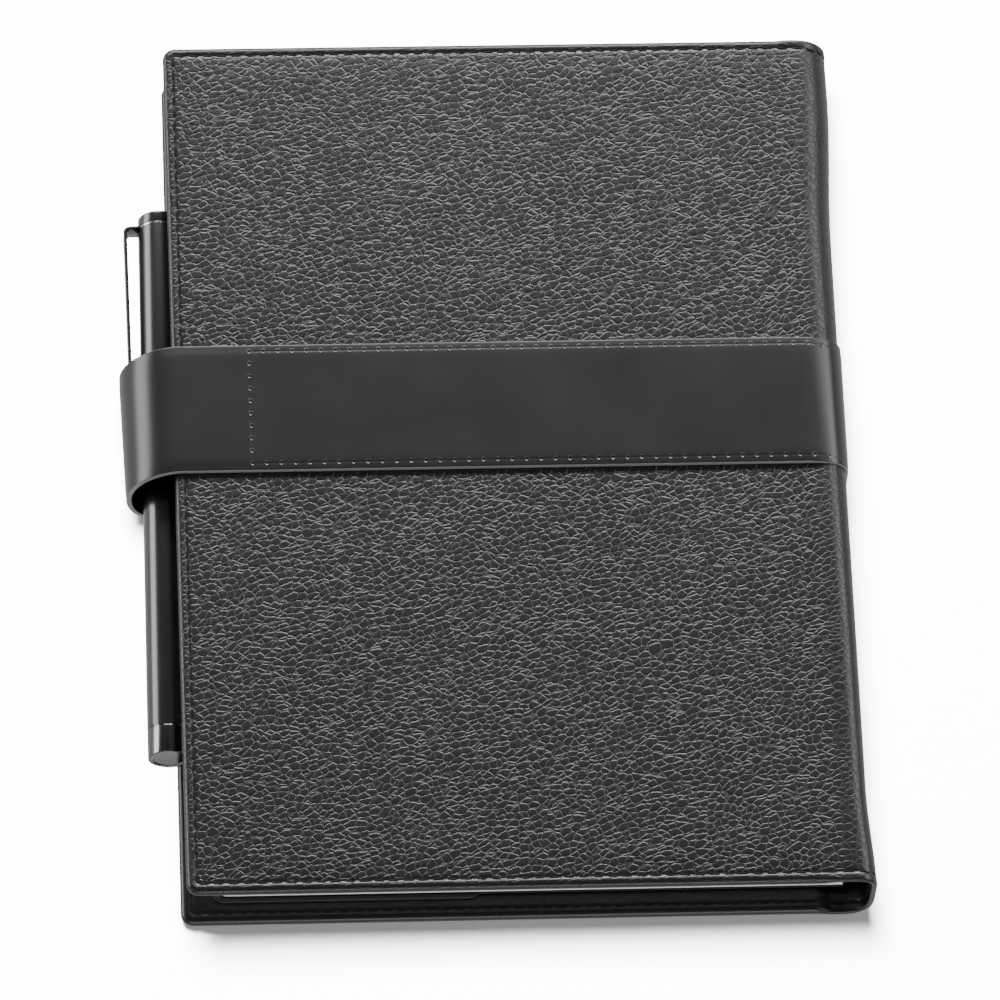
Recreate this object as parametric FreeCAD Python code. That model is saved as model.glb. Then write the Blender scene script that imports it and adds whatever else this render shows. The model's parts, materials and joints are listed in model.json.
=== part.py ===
import FreeCAD, Part
import math
import os

from FreeCAD import Vector

os.makedirs("parts", exist_ok=True)

# A leather notebook cover for an A5 refill, lying closed on its back cover, with a pen in its strap loop.
# Millimetres. Sections are drawn with x from the fore-edge (0) to the spine and z up from the table;
# y runs from the tail to the head. The part frame has its origin under the middle of the whole object.

# Refill notebook
PAGE_WIDTH = 148.0
PAGE_LENGTH = 210.0
FORE_RECESS = 7.5
END_RECESS = 6.0
CARD = 0.4
TAPE = 0.3
PAGE_BOTTOM = 5.45
PAGE_SPLIT = 12.2
PAGE_TOP = 18.5

# Cover panels: leather over board, leather turned in over the edges, lining inside the turn-in
COVER_LENGTH = PAGE_LENGTH + 2 * END_RECESS
PANEL_WIDTH = 156.0
COVER_HEIGHT = 24.4
LEATHER = 1.0
BOARD = 1.5
TURN_IN = 0.5
TURN_IN_WIDTH = 14.0
BOARD_END = 150.0
CORNER_RADIUS = 2.5
BACK_SKEW = 1.0

# Strap, its tab and the loop round the pen
STRAP = 1.4
STRAP_WIDTH = 33.0
STRAP_Y = 13.3
TAB_LENGTH = 5.5
LOOP_HINGE_X = -1.0
LOOP_LEFT = -12.5
LOOP_TOP_RADIUS = 11.0
LOOP_LOW_RADIUS = 8.4
LOOP_TIP_X = -1.4
MAGNET_RADIUS = 1.6
MAGNET_THICK = 1.0
MAGNET_X = -3.45

# Spine: three strips that fold on lines along their outer face
SPINE_BULGE = 6.6
FOLD_TURN = 45.0
GAP = 0.05

# Pockets inside
SLEEVE_WIDTH = 70.0
SLEEVE_THICK = 0.45
POCKET_WIDTH = 100.0
POCKET_LENGTH = 200.0
CARD_POCKET_WIDTH = 70.0
CARD_POCKET_LENGTH = 62.0
POCKET_FORE = 12.0

# Pen
PEN_RADIUS = 5.2
PEN_X = -2.2
PEN_Z = 11.0
PEN_TAIL = -72.0
PEN_HEAD = 70.5
PEN_TURN = -0.45
TAIL_CAP_LENGTH = 7.1
CROWN_LENGTH = 3.1
CAP_LENGTH = 62.0
CAP_RING_LENGTH = 1.5
RING_LENGTH = 0.3
BARREL_BORE = 4.3
CAP_BORE = 4.6
GRIP_RADIUS = 3.9
REFILL_RADIUS = 3.0
CLIP_REACH = 3.55
CLIP_THICK = 0.85
CLIP_WIDTH = 5.0
CLIP_LENGTH = 43.0
CLIP_LEAN = 0.7

MITRE = math.tan(math.radians(FOLD_TURN / 2))
SPINE_OUTER = PANEL_WIDTH + SPINE_BULGE
FOLDS = [
    (PANEL_WIDTH, 0.0),
    (SPINE_OUTER, SPINE_BULGE),
    (SPINE_OUTER, COVER_HEIGHT - SPINE_BULGE),
    (PANEL_WIDTH, COVER_HEIGHT),
]
STRIPS = ["lower", "mid", "upper"]
X_CENTRE = (LOOP_LEFT + SPINE_OUTER) / 2
HALF_LENGTH = COVER_LENGTH / 2
STRAP_Y0 = STRAP_Y - STRAP_WIDTH / 2
STRAP_Y1 = STRAP_Y + STRAP_WIDTH / 2
PAGE_X0 = FORE_RECESS
PAGE_X1 = FORE_RECESS + PAGE_WIDTH
PAGE_Y = PAGE_LENGTH / 2
LINING_DEPTH = STRAP + LEATHER + BOARD
INNER_DEPTH = LINING_DEPTH + TURN_IN


def save(node, shape):
    """Moves a shape from the section frame to the part frame and writes it."""
    placed = shape.copy()
    placed.translate(Vector(-X_CENTRE, 0, 0))
    placed.exportStep("parts/" + node + ".step")


def block(x0, x1, y0, y1, z0, z1):
    return Part.makeBox(x1 - x0, y1 - y0, z1 - z0, Vector(x0, y0, z0))


def prism(section, y0, y1):
    """A section drawn in x and z, extruded along y."""
    corners = [Vector(x, y0, z) for x, z in section]
    wire = Part.makePolygon(corners + corners[:1])
    return Part.Face(wire).extrude(Vector(0, y1 - y0, 0))


def slab(plan, z0, z1):
    """A plan drawn in x and y, extruded up."""
    corners = [Vector(x, y, z0) for x, y in plan]
    wire = Part.makePolygon(corners + corners[:1])
    return Part.Face(wire).extrude(Vector(0, 0, z1 - z0))


def round_edges(shape, radius, chosen):
    """Rounds the edges whose middle passes the test."""
    edges = [edge for edge in shape.Edges if chosen(edge.CenterOfMass)]
    return shape.makeFillet(radius, edges)


def to_front(shape):
    """Mirrors a piece of the back cover into its place on the front cover."""
    return shape.mirror(Vector(0, 0, COVER_HEIGHT / 2), Vector(0, 0, 1))


def mitre_x(depth):
    """Where a panel layer ends at the spine, by its depth from the outer face."""
    return PANEL_WIDTH - depth * MITRE - GAP


# Cover panels, drawn as the back cover: depth is measured up from the strap's outer face


def panel_block(depth0, depth1, inset, corner, skew):
    """One layer of a cover, inset from its three free edges and mitred at the spine."""
    end = HALF_LENGTH - inset
    plan = [(inset, end), (PANEL_WIDTH, end), (PANEL_WIDTH, -end), (inset - skew, -end)]
    layer = slab(plan, depth0, depth1)
    middle = (depth0 + depth1) / 2
    layer = round_edges(layer, corner, lambda p: p.x < inset + 1 and abs(p.z - middle) < 0.01 and abs(p.y) > end - 1)
    far = -COVER_LENGTH
    section = [(far, depth0), (mitre_x(depth0), depth0), (mitre_x(depth1), depth1), (far, depth1)]
    return layer.common(prism(section, -HALF_LENGTH, HALF_LENGTH))


def panel(skew):
    """Leather with its turned-in edges, board and lining of one cover."""
    board = panel_block(STRAP + LEATHER, LINING_DEPTH, LEATHER, CORNER_RADIUS - LEATHER, skew)
    board = board.common(block(-COVER_LENGTH, BOARD_END, -COVER_LENGTH, COVER_LENGTH, 0, COVER_HEIGHT))
    lining = panel_block(LINING_DEPTH, INNER_DEPTH, TURN_IN_WIDTH, CORNER_RADIUS, skew)
    leather = panel_block(STRAP, INNER_DEPTH, 0, CORNER_RADIUS, skew)
    return leather.cut(board).cut(lining), board, lining


def make_covers():
    for side, skew, place in (("back", BACK_SKEW, lambda s: s), ("front", 0.0, to_front)):
        leather, board, lining = panel(skew)
        save(side + "_leather", place(leather))
        save(side + "_board", place(board))
        save(side + "_lining", place(lining))


# Spine strips: each layer is a quadrilateral between the two mitre planes of its strip


def spine_layer(index, depth0, depth1, y0, y1):
    start = Vector(FOLDS[index][0], 0, FOLDS[index][1])
    end = Vector(FOLDS[index + 1][0], 0, FOLDS[index + 1][1])
    along = (end - start).normalize()
    inward = Vector(-along.z, 0, along.x)
    corners = []
    for depth, point, sign in ((depth0, start, 1), (depth0, end, -1), (depth1, end, -1), (depth1, start, 1)):
        corner = point + inward * depth + along * (sign * (depth * MITRE + GAP))
        corners.append((corner.x, corner.z))
    return prism(corners, y0, y1)


def make_spine():
    lining_end = HALF_LENGTH - TURN_IN_WIDTH
    inside = STRAP + LEATHER
    for index, name in enumerate(STRIPS):
        leather = spine_layer(index, STRAP, inside, -HALF_LENGTH, HALF_LENGTH)
        for y0, y1 in ((-HALF_LENGTH, -lining_end), (lining_end, HALF_LENGTH)):
            leather = leather.fuse(spine_layer(index, inside, inside + TURN_IN, y0, y1))
        save("spine_leather_" + name, leather.removeSplitter())
        save("spine_lining_" + name, spine_layer(index, inside, inside + TURN_IN, -lining_end, lining_end))
        save("spine_strap_" + name, spine_layer(index, 0, STRAP, STRAP_Y0, STRAP_Y1))


# Strap: sewn on both covers, a tab past the back cover's fore-edge, and the loop that closes on the tab


def magnet(z0):
    return Part.makeCylinder(MAGNET_RADIUS, MAGNET_THICK, Vector(MAGNET_X, STRAP_Y, z0))


def strap_run(x0):
    """The strap on one cover, from x0 to the spine."""
    section = [(x0, 0), (mitre_x(0), 0), (mitre_x(STRAP), STRAP), (x0, STRAP)]
    return prism(section, STRAP_Y0, STRAP_Y1)


def loop_outline(depth):
    """The loop's profile at a depth from its outer face: over, down round the pen and back under."""
    top = Vector(LOOP_LEFT + LOOP_TOP_RADIUS, STRAP_Y0, COVER_HEIGHT - LOOP_TOP_RADIUS)
    low = Vector(LOOP_LEFT + LOOP_LOW_RADIUS, STRAP_Y0, STRAP + GAP + LOOP_LOW_RADIUS)
    top_radius = LOOP_TOP_RADIUS - depth
    low_radius = LOOP_LOW_RADIUS - depth
    diagonal = Vector(-math.sqrt(0.5), 0, math.sqrt(0.5))
    up = Vector(0, 0, 1)
    left = Vector(-1, 0, 0)
    start = Vector(LOOP_HINGE_X - GAP, STRAP_Y0, COVER_HEIGHT - depth)
    over = top + up * top_radius
    side = top + left * top_radius
    turn = low + left * low_radius
    under = low - up * low_radius
    tip = Vector(LOOP_TIP_X, STRAP_Y0, under.z)
    low_diagonal = Vector(diagonal.x, 0, -diagonal.z)
    edges = [
        Part.LineSegment(start, over),
        Part.Arc(over, top + diagonal * top_radius, side),
        Part.LineSegment(side, turn),
        Part.Arc(turn, low + low_diagonal * low_radius, under),
        Part.LineSegment(under, tip),
    ]
    return edges, start, tip


def make_strap():
    tab_magnet = magnet(STRAP - MAGNET_THICK)
    loop_magnet = magnet(STRAP + GAP)
    strap_back = strap_run(-TAB_LENGTH).cut(tab_magnet)
    outer, outer_start, outer_tip = loop_outline(0)
    inner, inner_start, inner_tip = loop_outline(STRAP)
    ends = [Part.LineSegment(outer_tip, inner_tip), Part.LineSegment(inner_start, outer_start)]
    edges = [curve.toShape() for curve in outer + inner + ends]
    wire = Part.Wire(Part.__sortEdges__(edges))
    loop = Part.Face(wire).extrude(Vector(0, STRAP_WIDTH, 0)).cut(loop_magnet)
    save("strap_back", strap_back)
    save("strap_front", to_front(strap_run(LOOP_HINGE_X + GAP)))
    save("tab_magnet", tab_magnet)
    save("pen_loop", loop)
    save("loop_magnet", loop_magnet)


# Pockets inside the covers


def make_pockets():
    sleeve_side = PAGE_Y + GAP
    sleeve_rim = 1.2
    top = INNER_DEPTH + CARD + GAP
    sleeve = block(PAGE_X0 - sleeve_rim, SLEEVE_WIDTH, -sleeve_side - sleeve_rim, sleeve_side + sleeve_rim,
                   INNER_DEPTH, top + SLEEVE_THICK)
    sleeve = sleeve.cut(block(PAGE_X0 - GAP, SLEEVE_WIDTH, -sleeve_side, sleeve_side, INNER_DEPTH, top))
    save("back_sleeve", sleeve)
    half = POCKET_LENGTH / 2
    pocket = block(POCKET_FORE, POCKET_FORE + POCKET_WIDTH, -half, half, INNER_DEPTH, INNER_DEPTH + TURN_IN)
    save("document_pocket", to_front(pocket))
    card_pocket = block(POCKET_FORE, POCKET_FORE + CARD_POCKET_WIDTH, -half, CARD_POCKET_LENGTH - half,
                        INNER_DEPTH + TURN_IN, INNER_DEPTH + TURN_IN + CARD)
    save("card_pocket", to_front(card_pocket))


# Refill notebook: two halves that part at the middle opening, each with its card and binding tape


def make_refill():
    card_z = INNER_DEPTH + GAP / 2
    save("refill_back_card", block(PAGE_X0, PAGE_X1, -PAGE_Y, PAGE_Y, card_z, card_z + CARD))
    save("lower_pages", block(PAGE_X0, PAGE_X1, -PAGE_Y, PAGE_Y, PAGE_BOTTOM, PAGE_SPLIT - GAP))
    save("lower_binding_tape", block(PAGE_X1, PAGE_X1 + TAPE, -PAGE_Y, PAGE_Y, card_z, PAGE_SPLIT - GAP))
    save("upper_pages", block(PAGE_X0, PAGE_X1, -PAGE_Y, PAGE_Y, PAGE_SPLIT + GAP, PAGE_TOP))
    save("refill_front_card", block(PAGE_X0, PAGE_X1, -PAGE_Y, PAGE_Y, PAGE_TOP, PAGE_TOP + CARD))
    save("upper_binding_tape", block(PAGE_X1, PAGE_X1 + TAPE, -PAGE_Y, PAGE_Y, PAGE_SPLIT + GAP, PAGE_TOP + CARD))


# Pen: a capped rollerball along y


def save_pen(node, shape):
    """Writes a piece of the pen, which lies slightly askew in its loop."""
    turned = shape.copy()
    turned.rotate(Vector(PEN_X, 0, PEN_Z), Vector(0, 0, 1), PEN_TURN)
    save(node, turned)


def rod(radius, y0, y1):
    return Part.makeCylinder(radius, y1 - y0, Vector(PEN_X, y0, PEN_Z), Vector(0, 1, 0))


def tube(radius, bore, y0, y1):
    return rod(radius, y0, y1).cut(rod(bore, y0, y1))


def cone(radius0, radius1, y0, y1):
    return Part.makeCone(radius0, radius1, y1 - y0, Vector(PEN_X, y0, PEN_Z), Vector(0, 1, 0))


def make_pen():
    soft_edge = 0.4
    barrel_end = PEN_HEAD - CAP_LENGTH
    tail_joint = PEN_TAIL + TAIL_CAP_LENGTH
    crown_joint = PEN_HEAD - CROWN_LENGTH
    washer = crown_joint - RING_LENGTH
    spigot = 5.0
    tail_cap = round_edges(rod(PEN_RADIUS, PEN_TAIL, tail_joint), soft_edge, lambda p: p.y < PEN_TAIL + 0.01)
    save_pen("tail_cap", tail_cap.fuse(rod(BARREL_BORE, tail_joint, tail_joint + spigot)).removeSplitter())
    save_pen("tail_ring", tube(PEN_RADIUS - 0.1, BARREL_BORE, tail_joint, tail_joint + RING_LENGTH))
    save_pen("barrel_tube", tube(PEN_RADIUS, BARREL_BORE, tail_joint + RING_LENGTH, barrel_end - GAP))

    grip_end = barrel_end + 21.0
    nose_end = grip_end + 5.0
    refill_front = grip_end - 2.0
    grip = rod(BARREL_BORE, barrel_end - 13.0, barrel_end - GAP).fuse(rod(GRIP_RADIUS, barrel_end - 1.0, grip_end))
    grip = grip.fuse(cone(GRIP_RADIUS, GRIP_RADIUS / 2, grip_end, nose_end))
    grip = grip.cut(rod(REFILL_RADIUS, barrel_end - 13.0, refill_front)).cut(rod(1.1, refill_front, nose_end))
    save_pen("grip_section", grip.removeSplitter())
    save_pen("refill_tube", rod(REFILL_RADIUS, tail_joint + spigot + 1.0, refill_front))
    tip = rod(1.1, refill_front, nose_end).fuse(cone(1.1, 0.35, nose_end, nose_end + 3.5))
    save_pen("writing_tip", tip.removeSplitter())

    save_pen("cap_ring", tube(PEN_RADIUS, CAP_BORE, barrel_end, barrel_end + CAP_RING_LENGTH))
    save_pen("cap_tube", tube(PEN_RADIUS, CAP_BORE, barrel_end + CAP_RING_LENGTH, washer))
    save_pen("cap_liner", tube(CAP_BORE, GRIP_RADIUS + 0.15, barrel_end + 4.0, barrel_end + 16.0))
    crown = round_edges(rod(PEN_RADIUS, crown_joint, PEN_HEAD), soft_edge, lambda p: p.y > PEN_HEAD - 0.01)
    save_pen("cap_crown", crown.fuse(rod(CAP_BORE - 0.6, washer - spigot, crown_joint)).removeSplitter())

    outer_x = PEN_X - PEN_RADIUS - CLIP_REACH
    clip_end = crown_joint - CLIP_LENGTH
    plan = [
        (PEN_X - CAP_BORE, crown_joint),
        (outer_x, crown_joint),
        (outer_x + CLIP_LEAN, clip_end),
        (outer_x + CLIP_LEAN + CLIP_THICK, clip_end),
        (outer_x + CLIP_THICK, crown_joint - CLIP_THICK),
        (PEN_X - CAP_BORE, crown_joint - CLIP_THICK),
    ]
    clip = slab(plan, PEN_Z - CLIP_WIDTH / 2, PEN_Z + CLIP_WIDTH / 2)
    clip = round_edges(clip, 1.6, lambda p: p.x < outer_x + 0.01 and p.y > crown_joint - 0.01)
    clip = round_edges(clip, 0.75, lambda p: abs(p.x - outer_x - CLIP_THICK) < 0.01
                       and abs(p.y - crown_joint + CLIP_THICK) < 0.01)
    clip = clip.cut(rod(PEN_RADIUS, clip_end, washer))
    ball_radius = 1.2
    ball = Part.makeSphere(ball_radius, Vector(PEN_X - PEN_RADIUS - GAP - ball_radius, clip_end + 1.5, PEN_Z))
    washer_ring = tube(PEN_RADIUS - 0.1, CAP_BORE - 0.6, washer, crown_joint)
    save_pen("pen_clip", clip.fuse(washer_ring).fuse(ball).removeSplitter())


make_covers()
make_spine()
make_strap()
make_pockets()
make_refill()
make_pen()
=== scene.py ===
import json
import math

import bmesh
import bpy
import numpy as np
from mathutils import Matrix, Vector

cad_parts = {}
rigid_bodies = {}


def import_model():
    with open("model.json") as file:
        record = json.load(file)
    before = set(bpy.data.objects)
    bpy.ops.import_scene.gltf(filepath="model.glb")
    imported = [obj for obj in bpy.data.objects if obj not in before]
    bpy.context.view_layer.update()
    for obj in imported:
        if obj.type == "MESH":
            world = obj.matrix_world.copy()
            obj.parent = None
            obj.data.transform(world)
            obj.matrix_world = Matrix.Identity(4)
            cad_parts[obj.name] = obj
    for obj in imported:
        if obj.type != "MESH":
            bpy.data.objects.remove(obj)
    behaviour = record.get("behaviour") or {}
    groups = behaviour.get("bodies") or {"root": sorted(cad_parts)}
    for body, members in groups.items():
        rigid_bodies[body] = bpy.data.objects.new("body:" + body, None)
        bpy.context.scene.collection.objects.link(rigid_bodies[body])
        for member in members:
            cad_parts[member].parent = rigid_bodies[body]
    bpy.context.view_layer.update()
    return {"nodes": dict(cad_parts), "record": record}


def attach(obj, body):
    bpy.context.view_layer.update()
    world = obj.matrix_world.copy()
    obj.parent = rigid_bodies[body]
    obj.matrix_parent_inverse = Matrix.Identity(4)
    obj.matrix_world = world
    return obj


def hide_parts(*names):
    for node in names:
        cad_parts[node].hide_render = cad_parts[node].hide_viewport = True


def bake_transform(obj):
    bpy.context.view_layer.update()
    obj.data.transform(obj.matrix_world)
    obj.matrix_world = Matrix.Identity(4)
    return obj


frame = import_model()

# Millimetres. Sections use the part's own frame: x from the fore-edge (0) to the spine, z up from the
# table, y from the tail to the head. A cover piece is drawn flat first, as (s, y, depth): s runs over the
# back cover, round the spine and over the front cover, and depth goes inward from the leather's outer face.
X_CENTRE = 75.05
MM = 0.001
HALF_LENGTH = 111.0
LEATHER_LOW = 1.4
LEATHER_HIGH = 23.0
PANEL = 3.0
SPINE_WALL = 1.5
FLAT = 150.0
SPINE_X = 160.95
SPINE_CROWN = 1.4
TAIL_FLARE = 1.35
HEAD_FLARE = 1.3
LOW_RADIUS = 6.5
TIGHT_RADIUS = 3.8
RADIUS_GAIN = 4.0
BACK_SAG = 0.4
MIDDLE_Z = 12.2
STRAP = 1.4
STRAP_Y = 13.3
STRAP_HALF = 16.5
BACK_SKEW = 1.0
STITCH_PITCH = 3.45
EDGE_SEAM = 2.4
STRAP_SEAM = 1.75

rng = np.random.default_rng(7)
QUARTER = math.pi / 2
TANGENT_STEP = 0.05


def smooth(t):
    """0 below 0, 1 above 1, and an even rise between."""
    t = np.clip(t, 0, 1)
    return t * t * (3 - 2 * t)


def to_row(x, y, z):
    """Section millimetres to row-frame metres, as rows of points."""
    return np.stack(np.broadcast_arrays((x - X_CENTRE) * MM, y * MM, z * MM), axis=-1).astype(float)


# The cover's outer profile


def spine_reach(y):
    """The spine leather stands out a little more at its two open ends."""
    return SPINE_X + TAIL_FLARE * smooth((-y - 86) / 26) + HEAD_FLARE * smooth((y - 60) / 36)


def high_radius(y):
    """The fold at the top of the spine is tight at the tail and rounder towards the head."""
    return TIGHT_RADIUS + RADIUS_GAIN * smooth((y + 95) / 190)


def profile_lengths(y):
    """Lengths along the bend at which its parts end: low flat, low arc, side, high arc, high flat."""
    reach = spine_reach(y)
    turn = high_radius(y)
    low_flat = reach - LOW_RADIUS - FLAT
    low_arc = low_flat + LOW_RADIUS * QUARTER
    side = low_arc + LEATHER_HIGH - LEATHER_LOW - LOW_RADIUS - turn
    high_arc = side + turn * QUARTER
    return low_flat, low_arc, side, high_arc, high_arc + reach - turn - FLAT


def profile_marks(y):
    """Lengths along the bend at the middles of the three spine strips, and its ends."""
    low_flat, low_arc, side, _, end = profile_lengths(y)
    low = low_flat + LOW_RADIUS * QUARTER / 2
    middle = low_arc + MIDDLE_Z - LEATHER_LOW - LOW_RADIUS
    high = side + high_radius(y) * QUARTER / 2
    return [low_flat * 0, low, middle, high, end]


MARKS = [float(m) for m in profile_marks(np.array(0.0))]
SEAMS = [FLAT + m for m in MARKS[1:4]]
COVER_RUN = 2 * FLAT + MARKS[4]
STRAP_STITCH_X = 18.6
STRAP_COLUMN = COVER_RUN - STRAP_STITCH_X


def bend_length(s, y):
    """Where s falls along the bend at this y, so that the strip middles keep one s all along the spine."""
    here = profile_marks(y)
    length = s - FLAT
    result = np.where(length < 0, length, here[4] + length - MARKS[4])
    for k in range(4):
        share = (length - MARKS[k]) / (MARKS[k + 1] - MARKS[k])
        inside = (length >= MARKS[k]) & (length <= MARKS[k + 1])
        result = np.where(inside, here[k] + share * (here[k + 1] - here[k]), result)
    return result


def raw_profile(length, y):
    """The outer profile at a length along the bend, as straight parts and arcs."""
    reach = spine_reach(y)
    curl = high_radius(y)
    low_flat, low_arc, side, high_arc, _ = profile_lengths(y)
    low_turn = (length - low_flat) / LOW_RADIUS
    high_turn = (length - side) / curl
    parts = [length < low_flat, length < low_arc, length < side, length < high_arc]
    low_x = reach - LOW_RADIUS
    high_x = reach - curl
    x = np.select(parts, [FLAT + length, low_x + LOW_RADIUS * np.sin(low_turn), reach + 0 * length,
                          high_x + curl * np.cos(high_turn)], high_x - (length - high_arc))
    z = np.select(parts, [LEATHER_LOW + 0 * length, LEATHER_LOW + LOW_RADIUS * (1 - np.cos(low_turn)),
                          LEATHER_LOW + LOW_RADIUS + length - low_arc,
                          LEATHER_HIGH - curl + curl * np.sin(high_turn)], LEATHER_HIGH + 0 * length)
    rise = (z - LEATHER_LOW) / (LEATHER_HIGH - LEATHER_LOW)
    x = x + SPINE_CROWN * rise * (1 - rise)
    away = smooth((np.abs(y - STRAP_Y) - 18) / 70)
    z = z - BACK_SAG * away * (1 - smooth(rise * 2))
    return x, z


def eased(outline, length, reach, count):
    """An outline averaged over a short run, which eases the places where an arc meets a straight part."""
    x, z = 0, 0
    for offset in np.linspace(-reach, reach, count):
        px, pz = outline(length + offset)
        x = x + px / count
        z = z + pz / count
    return x, z


def inward(x0, z0, x1, z1):
    """The unit normal of a short run of the outline, into the book."""
    run = np.hypot(x1 - x0, z1 - z0)
    return -(z1 - z0) / run, (x1 - x0) / run


def cover_wrap(s, y, depth):
    """A point of a cover piece drawn flat, put in its place round the book."""
    length = bend_length(s, y)
    x0, z0 = eased(lambda along: raw_profile(along, y), length - TANGENT_STEP, 2.0, 9)
    x1, z1 = eased(lambda along: raw_profile(along, y), length + TANGENT_STEP, 2.0, 9)
    nx, nz = inward(x0, z0, x1, z1)
    return to_row((x0 + x1) / 2 + nx * depth, y, (z0 + z1) / 2 + nz * depth)


def back_wrap(s, y, depth):
    """As cover_wrap, with the back cover's tail corner a little further out at the fore-edge."""
    slip = BACK_SKEW * (HALF_LENGTH - y) / (2 * HALF_LENGTH) * np.clip(1 - s / FLAT, 0, 1.1)
    return cover_wrap(s - slip, y, depth)


def calm(s):
    """How much of the pebble grain is left: the leather is stretched smooth round the spine."""
    low = smooth((s - 152.0) / 3)
    high = smooth((COVER_RUN - 152.0 - s) / 3)
    return 1 - 0.55 * low * high + 0 * s


def wall(s):
    """Thickness of leather and board on the covers, and of leather and backing on the spine."""
    low = smooth((s - FLAT + 1.0) / 4)
    high = smooth((COVER_RUN - FLAT + 1.0 - s) / 4)
    return PANEL - (PANEL - SPINE_WALL) * low * high


# The loop's outer profile: from the front cover over the pen and back under it

LOOP_START = 3.0
LOOP_LEFT = -12.5
LOOP_TOP_RADIUS = 13.2
LOOP_LOW_RADIUS = 8.9
LOOP_TIP = -1.4
STRAP_HIGH = LEATHER_HIGH + STRAP
LOOP_LOW = 1.5
LOOP_LEAN = 1.6
LOOP_TWIST = 2.7
LOOP_LENGTHS = np.cumsum([
    LOOP_START - LOOP_LEFT - LOOP_TOP_RADIUS,
    LOOP_TOP_RADIUS * QUARTER,
    STRAP_HIGH - LOOP_TOP_RADIUS - LOOP_LOW - LOOP_LOW_RADIUS,
    LOOP_LOW_RADIUS * QUARTER,
    LOOP_TIP - LOOP_LEFT - LOOP_LOW_RADIUS,
])


def raw_loop(length):
    """The loop's outer profile at a length from the front cover, as straight parts and arcs."""
    top, side, low, under, _ = LOOP_LENGTHS
    over = (length - top) / LOOP_TOP_RADIUS
    turn = (length - low) / LOOP_LOW_RADIUS
    parts = [length < top, length < side, length < low, length < under]
    top_x = LOOP_LEFT + LOOP_TOP_RADIUS
    low_x = LOOP_LEFT + LOOP_LOW_RADIUS
    x = np.select(parts, [LOOP_START - length, top_x - LOOP_TOP_RADIUS * np.sin(over), LOOP_LEFT + 0 * length,
                          low_x - LOOP_LOW_RADIUS * np.cos(turn)], low_x + length - under)
    z = np.select(parts, [STRAP_HIGH + 0 * length, STRAP_HIGH - LOOP_TOP_RADIUS * (1 - np.cos(over)),
                          STRAP_HIGH - LOOP_TOP_RADIUS - (length - side),
                          LOOP_LOW + LOOP_LOW_RADIUS * (1 - np.sin(turn))], LOOP_LOW + 0 * length)
    return x, z


def loop_wrap(s, y, depth):
    """A point of the loop drawn flat: s from the front cover to the free end, depth inward."""
    x, z = eased(raw_loop, s, 0.8, 3)
    nx, nz = inward(*eased(raw_loop, s - TANGENT_STEP, 0.8, 3), *eased(raw_loop, s + TANGENT_STEP, 0.8, 3))
    drop = np.clip((STRAP_HIGH - z) / (STRAP_HIGH - LOOP_LOW), 0, 1)
    tail_side = np.clip((STRAP_Y + STRAP_HALF - y) / (2 * STRAP_HALF), 0, 1)
    x = x + nx * depth + LOOP_LEAN * tail_side * smooth(drop) * np.clip(-x / 8, 0, 1)
    return to_row(x, y - LOOP_TWIST * np.sqrt(np.clip(drop, 1e-9, 1)), z + nz * depth)


# Mesh builders


def make_mesh(name, points, faces, attributes=None, shade_smooth=True, orient=True):
    """A new object. attributes are named values, one for each point, which the materials read."""
    mesh = bpy.data.meshes.new(name)
    mesh.from_pydata([tuple(p) for p in points], [], faces)
    mesh.update()
    for key, values in (attributes or {}).items():
        values = np.asarray(values, dtype=np.float32)
        kind = "FLOAT_VECTOR" if values.ndim == 2 else "FLOAT"
        field = "vector" if values.ndim == 2 else "value"
        mesh.attributes.new(key, kind, "POINT").data.foreach_set(field, values.ravel())
    piece = bpy.data.objects.new(name, mesh)
    bpy.context.scene.collection.objects.link(piece)
    if orient:
        work = bmesh.new()
        work.from_mesh(mesh)
        bmesh.ops.recalc_face_normals(work, faces=work.faces)
        work.to_mesh(mesh)
        work.free()
    for polygon in mesh.polygons:
        polygon.use_smooth = shade_smooth
    return piece


def side_stations(length, rim0, rim1, step, radius, marks):
    """Distances along one side of a sheet: close together at rounded rims and marks, even between."""
    curl = [radius * (1 - math.cos(a * QUARTER / 6)) for a in range(7)]
    near = sorted(set(round(v, 4) for v in curl + [radius + m for m in marks]))
    plain = [0.0, 0.06]
    first = near if rim0 else plain
    last = near if rim1 else plain
    count = max(1, int(math.ceil((length - first[-1] - last[-1]) / step)))
    middle = np.linspace(first[-1], length - last[-1], count + 1)
    return np.array(first[:-1] + list(middle) + [length - v for v in reversed(last[:-1])])


def round_off(e, radius, thickness):
    """How far a rounded edge has fallen away at distance e from the rim."""
    if radius <= 0:
        return 0 * e
    radius = np.minimum(radius, thickness * 0.485)
    t = np.clip(1 - e / radius, 0, 1)
    return radius * (1 - np.sqrt(1 - t * t))


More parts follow.
